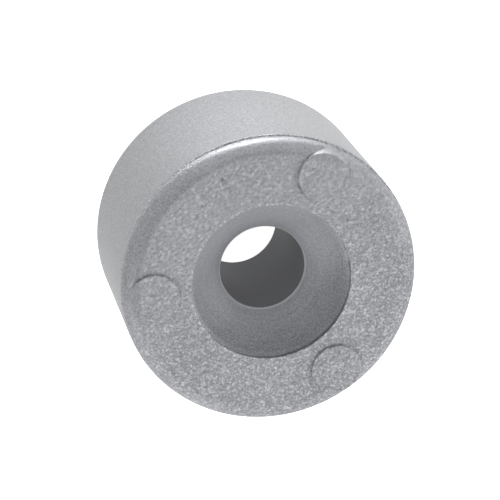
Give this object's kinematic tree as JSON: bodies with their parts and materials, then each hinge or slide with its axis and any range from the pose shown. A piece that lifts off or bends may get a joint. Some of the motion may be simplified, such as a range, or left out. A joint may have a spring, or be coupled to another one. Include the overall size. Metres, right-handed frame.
{
  "type": "sacrificial anode",
  "caption": "Round bolt-on sacrificial anode cast in zinc alloy, with a countersunk hole for its fixing screw and a flat back face.",
  "frame": {"origin": "centre of the flat back face, which seats on the protected metal; the part stands on this face", "axes": "+Z along the fixing screw, from the back face out through the countersunk front face; one ejector pad lies on the -X side"},
  "size_m": [0.038, 0.038, 0.023],
  "materials": {
    "cast_zinc": "as-cast zinc alloy, matte pale grey: fine grain on the barrel, coarse sparkling grain on the front face, darker and smoother in the screw seat"
  },
  "bodies": {
    "root": {"anode_casting": "cast_zinc"}
  },
  "joints": []
}
